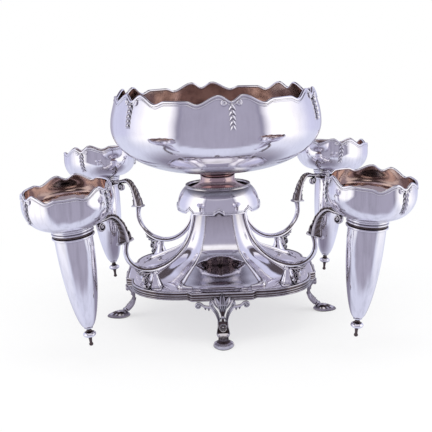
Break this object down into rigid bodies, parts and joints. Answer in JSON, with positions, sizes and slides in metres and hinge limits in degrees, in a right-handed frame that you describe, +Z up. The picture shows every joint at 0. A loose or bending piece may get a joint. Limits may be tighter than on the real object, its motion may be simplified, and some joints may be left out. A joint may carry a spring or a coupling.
{
  "type": "epergne",
  "caption": "Silver-plated table centrepiece: footed plateau, flared pedestal, lift-out bowl with a wavy rim, and scroll arms that carry lift-out flower vases",
  "frame": {"origin": "on the table under the middle of the bowl", "axes": "+Z up, -Y towards the side the picture shows, the arms along the diagonals of X and Y"},
  "size_m": [0.3964, 0.3964, 0.2651],
  "materials": {
    "silver_plate": "polished silver plate with faint hand-polishing marks, gilt inside the bowl and vases",
    "cast_silver": "cast and chased silver plate with dark tarnish in its hollows",
    "steel": "plain turned metal out of sight"
  },
  "bodies": {
    "stand": {"plateau": "silver_plate", "plateau_border": "cast_silver", "pedestal": "silver_plate", "dome_collar": "silver_plate", "dome_bead_ring": "cast_silver", "bowl_socket": "steel", "centre_rod": "steel", "rod_washer": "steel", "rod_nut": "steel", "post_nuts": "steel", "foot_right": "cast_silver", "foot_back": "cast_silver", "foot_left": "cast_silver", "foot_front": "cast_silver", "post_fr": "silver_plate", "post_leaf_fr": "cast_silver", "arm_fr": "silver_plate", "arm_leaf_fr": "cast_silver", "vase_ring_fr": "cast_silver", "post_br": "silver_plate", "post_leaf_br": "cast_silver", "arm_br": "silver_plate", "arm_leaf_br": "cast_silver", "vase_ring_br": "cast_silver", "post_bl": "silver_plate", "post_leaf_bl": "cast_silver", "arm_bl": "silver_plate", "arm_leaf_bl": "cast_silver", "vase_ring_bl": "cast_silver", "post_fl": "silver_plate", "post_leaf_fl": "cast_silver", "arm_fl": "silver_plate", "arm_leaf_fl": "cast_silver", "vase_ring_fl": "cast_silver"},
    "bowl": {"bowl_shell": "silver_plate", "bowl_border": "cast_silver", "bowl_pendants": "cast_silver", "bowl_neck": "silver_plate"},
    "vase_fr": {"vase_shell_fr": "silver_plate", "vase_border_fr": "cast_silver", "vase_pendants_fr": "cast_silver", "vase_finial_fr": "cast_silver"},
    "vase_br": {"vase_shell_br": "silver_plate", "vase_border_br": "cast_silver", "vase_pendants_br": "cast_silver", "vase_finial_br": "cast_silver"},
    "vase_bl": {"vase_shell_bl": "silver_plate", "vase_border_bl": "cast_silver", "vase_pendants_bl": "cast_silver", "vase_finial_bl": "cast_silver"},
    "vase_fl": {"vase_shell_fl": "silver_plate", "vase_border_fl": "cast_silver", "vase_pendants_fl": "cast_silver", "vase_finial_fl": "cast_silver"}
  },
  "joints": [
    {"name": "bowl_lift", "type": "slide", "parent": "stand", "child": "bowl", "axis": [0, 0, 1], "range_m": [0, 0.06]},
    {"name": "vase_fr_lift", "type": "slide", "parent": "stand", "child": "vase_fr", "axis": [0.0862, -0.0862, 0.9925], "range_m": [0, 0.13]},
    {"name": "vase_br_lift", "type": "slide", "parent": "stand", "child": "vase_br", "axis": [0.0862, 0.0862, 0.9925], "range_m": [0, 0.13]},
    {"name": "vase_bl_lift", "type": "slide", "parent": "stand", "child": "vase_bl", "axis": [-0.0862, 0.0862, 0.9925], "range_m": [0, 0.13]},
    {"name": "vase_fl_lift", "type": "slide", "parent": "stand", "child": "vase_fl", "axis": [-0.0862, -0.0862, 0.9925], "range_m": [0, 0.13]}
  ]
}
